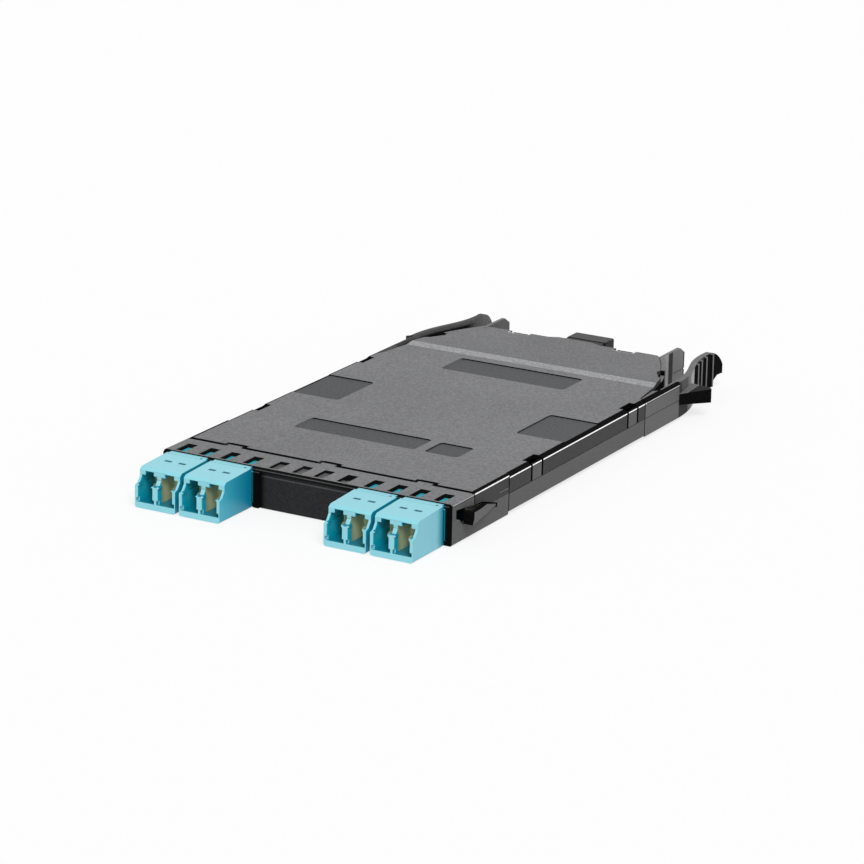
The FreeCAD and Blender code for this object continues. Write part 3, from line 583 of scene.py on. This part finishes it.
def block(shape, x_ends, y_ends, z_ends):
    """Add a box to a mesh in the making, from its ends in mm."""
    ends = (x_ends, y_ends, z_ends)
    corners = bmesh.ops.create_cube(shape, size=1.0)["verts"]
    bmesh.ops.scale(shape, vec=[(high - low) * mm for low, high in ends], verts=corners)
    bmesh.ops.translate(shape, vec=[(low + high) / 2 * mm for low, high in ends], verts=corners)


def fixed_piece(name, shape, material):
    """Make a finished shape a piece of its own, fixed to the housing."""
    mesh = bpy.data.meshes.new(name)
    shape.to_mesh(mesh)
    shape.free()
    mesh.materials.append(material)
    piece = bpy.data.objects.new(name, mesh)
    scene.collection.objects.link(piece)
    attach(piece, "cassette")


def window_bosses(name, middles, backs, top, material):
    """Blocks under the two windows at each middle; backs are their rear ends, from left to right."""
    shape = bmesh.new()
    places = [middle + side * window_spacing / 2 for middle in middles for side in (-1, 1)]
    for x, back in zip(places, backs):
        block(shape, (x - boss_width / 2, x + boss_width / 2),
              (frame_face + boss_front, frame_face + back), (port_roof, top))
    fixed_piece(name, shape, material)


blank = Finish("blank plastic", blank_black, roughness=0.5, grain=1.2)
# A lighter line across its face, painted shade at its left end, and painted light on its tops.
blank.paint(blank_line_grey, blank.high(blank_line_heights, 0.1))
blank.paint(deep_shade_black, blank.within(blank.x, blank_dark_ends, 1.0))
blank.paint(blank_top_painted_light, blank.looks(blank.up, 0.7, 0.1))
blank_plastic = blank.made(housing_gloss)
dress("blank_panel", blank_plastic, edge_width)
window_bosses("blank_bosses", blank_middles, blank_boss_backs, blank_boss_top, blank_plastic)

# Duplex ports: aqua plastic, the colour of laser-grade multimode fibre, snapped into the frame.
# Daylight hardly reaches into the bores and gaps, which are painted deep teal as painted shade.
# Places are in mm: along from the frame's face, across from the port's own middle.
aqua = (0.24, 0.60, 0.68)
bore_shade_teal = (0.0, 0.35, 0.48)
bore_floor_shade_teal = (0.0, 0.19, 0.27)
bore_ends = (-5.75, 5.75)
bore_run = (-16.7, 20)
bore_heights = (1.5, 9.95)
port_front_run = (-18, -13.4)
slot_shade_teal = (0.005, 0.15, 0.19)
roof_heights = (10, 12)
roof_slot_shift = 0.1                 # the pair of slots lies this much to the right
roof_slot_span = (1.1, 3.3)
roof_slot_run = (-7.95, -6.8)
roof_hole_ends = (4.18, 4.82)
roof_hole_run = (-1.72, -1.08)
lip_teal = (0.12, 0.42, 0.49)
lip_ends = (-6.1, 6.1)
lip_run = (-2.15, -1.9)
neck_shade_teal = (0.0, 0.22, 0.36)
neck_run = (-1.38, 0.1)
right_side_ends = (6, 7)
shoulder_shade_teal = (0.0, 0.08, 0.12)
shoulder_run = (-0.8, 0.3)
behind_shade_teal = (0.001, 0.006, 0.008)
behind_run = (0.1, 20)
crisp = 0.05                          # softness of the edges between these colours

# The right side of each port, painted shade: its colour at the front and at the back, and the run between
# them.
gap_shade_teal = (0.0, 0.25, 0.36)
in_gap = (gap_shade_teal, gap_shade_teal, (-17, 0))
right_side_shades = {1: in_gap,
               2: ((0.03, 0.37, 0.50), (0.0, 0.20, 0.32), (-16.5, -3)),
               3: in_gap,
               4: ((0.17, 0.47, 0.56), (0.0, 0.22, 0.30), (-4.4, -1.6))}


def paint_bores(finish):
    """Painted shade: deep teal inside the two bores, deeper on their floors."""
    front = finish.both(finish.looks_forward(), finish.along(port_front_run, crisp))
    bores = finish.both(finish.within(finish.from_middle, bore_ends), finish.along(bore_run, crisp),
                        finish.high(bore_heights, crisp), finish.other(front))
    finish.paint(bore_shade_teal, bores)
    finish.paint(bore_floor_shade_teal, bores, finish.looks(finish.up, 0.5, 0.1))


def paint_roof(finish):
    """Painted shade in the slots and small hole of the port's roof, and its rear lip."""
    roof = finish.high(roof_heights, crisp)
    shifted = finish.step("SUBTRACT", finish.from_middle, roof_slot_shift * mm)
    slots = finish.within(finish.step("ABSOLUTE", shifted), roof_slot_span)
    hole = finish.within(finish.from_middle, roof_hole_ends)
    lip = finish.within(finish.from_middle, lip_ends)
    finish.paint(slot_shade_teal, slots, finish.along(roof_slot_run, 0.03), roof)
    finish.paint(slot_shade_teal, hole, finish.along(roof_hole_run, crisp), roof)
    finish.paint(lip_teal, lip, finish.along(lip_run, crisp), roof)


def paint_port_sides(finish, near, far, run):
    """Painted shade on the neck, on the right side in its two colours, and on what lies in the shade of
    the frame.
    """
    neck = finish.along(neck_run, crisp)
    finish.paint(neck_shade_teal, finish.looks(finish.step("ABSOLUTE", finish.right), 0.7), neck)
    right = finish.both(finish.looks(finish.right, 0.7),
                        finish.within(finish.from_middle, right_side_ends))
    start, end = run
    inwards = finish.rise(finish.y, (start + frame_face) * mm, (end + frame_face) * mm)
    finish.paint(near, right)
    finish.paint(far, right, inwards)
    finish.paint(shoulder_shade_teal, finish.looks_forward(), finish.along(shoulder_run, crisp))
    not_up = finish.other(finish.looks(finish.up, 0.5, 0.1))
    finish.paint(behind_shade_teal, not_up, finish.along(behind_run, crisp))


port_edge_width = 0.04
port_gloss = 0.5
port_boss_top = flat_top - 1.15
port_boss_backs = (7.14, 7.14)
# The ports' bosses are painted a deeper teal than the ports, as painted shade under the frame's roof.
boss_shade_aqua = Finish("boss plastic", (0.03, 0.36, 0.44), roughness=0.5).made()
divider_run = (-14.84, -14.745)
divider_blocks = ((1.72, (8.8, port_roof)), (0.62, (8.0, 8.8)))         # half width and heights
for number in range(1, 5):
    low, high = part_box(f"lc_adapter_{number}")
    middle = (low[0] + high[0]) / 2 / mm
    port = Finish(f"aqua plastic {number}", aqua, roughness=0.4, grain=0.06, middle=middle)
    paint_bores(port)
    paint_roof(port)
    paint_port_sides(port, *right_side_shades[number])
    port_plastic = port.made(port_gloss)
    dress(f"lc_adapter_{number}", port_plastic, port_edge_width)
    divider = bmesh.new()
    for half, heights in divider_blocks:
        block(divider, (middle - half, middle + half), [frame_face + end for end in divider_run], heights)
    fixed_piece(f"divider_front_{number}", divider, port_plastic)
    window_bosses(f"port_bosses_{number}", (middle,), port_boss_backs, port_boss_top, boss_shade_aqua)

# Sleeve holders and sleeves: amber plastic inserts in the ports, with split sleeves of white ceramic.
# Its inner part is painted lighter than its front, as painted light deep in the port.
amber_front = (0.28, 0.31, 0.15)
amber_painted_light = (0.88, 0.92, 0.58)
amber_run = (-14.8, -8.4)
start, end = ((end + frame_face) * mm for end in amber_run)
holder = Finish("amber plastic", amber_front, roughness=0.45)
holder.paint(amber_painted_light, holder.rise(holder.y, start, end))
amber = holder.made()
ceramic = Finish("white ceramic", (0.85, 0.83, 0.78), roughness=0.25).made()
for number in range(1, 5):
    dress(f"sleeve_holder_{number}", amber)
    dress(f"alignment_sleeves_{number}", ceramic)

# Inner plugs and fibres: beige plugs on aqua-jacketed fibre, pushed into the ports from behind.
# They lie inside the housing and show only when it is opened.
plug_beige = Finish("plug plastic", (0.55, 0.52, 0.42), roughness=0.45).made()
jacket_aqua = Finish("aqua jacket", (0.10, 0.45, 0.50), roughness=0.5).made()
for number in range(1, 9):
    dress(f"lc_plug_{number}", plug_beige)
    dress(f"fibre_leg_{number}", jacket_aqua)
dress("fibre_trunk", jacket_aqua)

# Dust cap: soft black plastic, pushed into the rear port.
# Its top and its right side are painted grey as painted light.
cap_black = (0.008, 0.008, 0.008)
cap_top_painted_light = (0.055, 0.055, 0.056)
cap_side_painted_light = (0.03, 0.03, 0.031)
cap = Finish("cap black", cap_black, roughness=0.5)
cap.paint(cap_top_painted_light, cap.looks(cap.up, 0.7, 0.1))
cap.paint(cap_side_painted_light, cap.looks(cap.right, 0.7, 0.1))
dress("rear_dust_cap", cap.made(housing_gloss), edge_width)
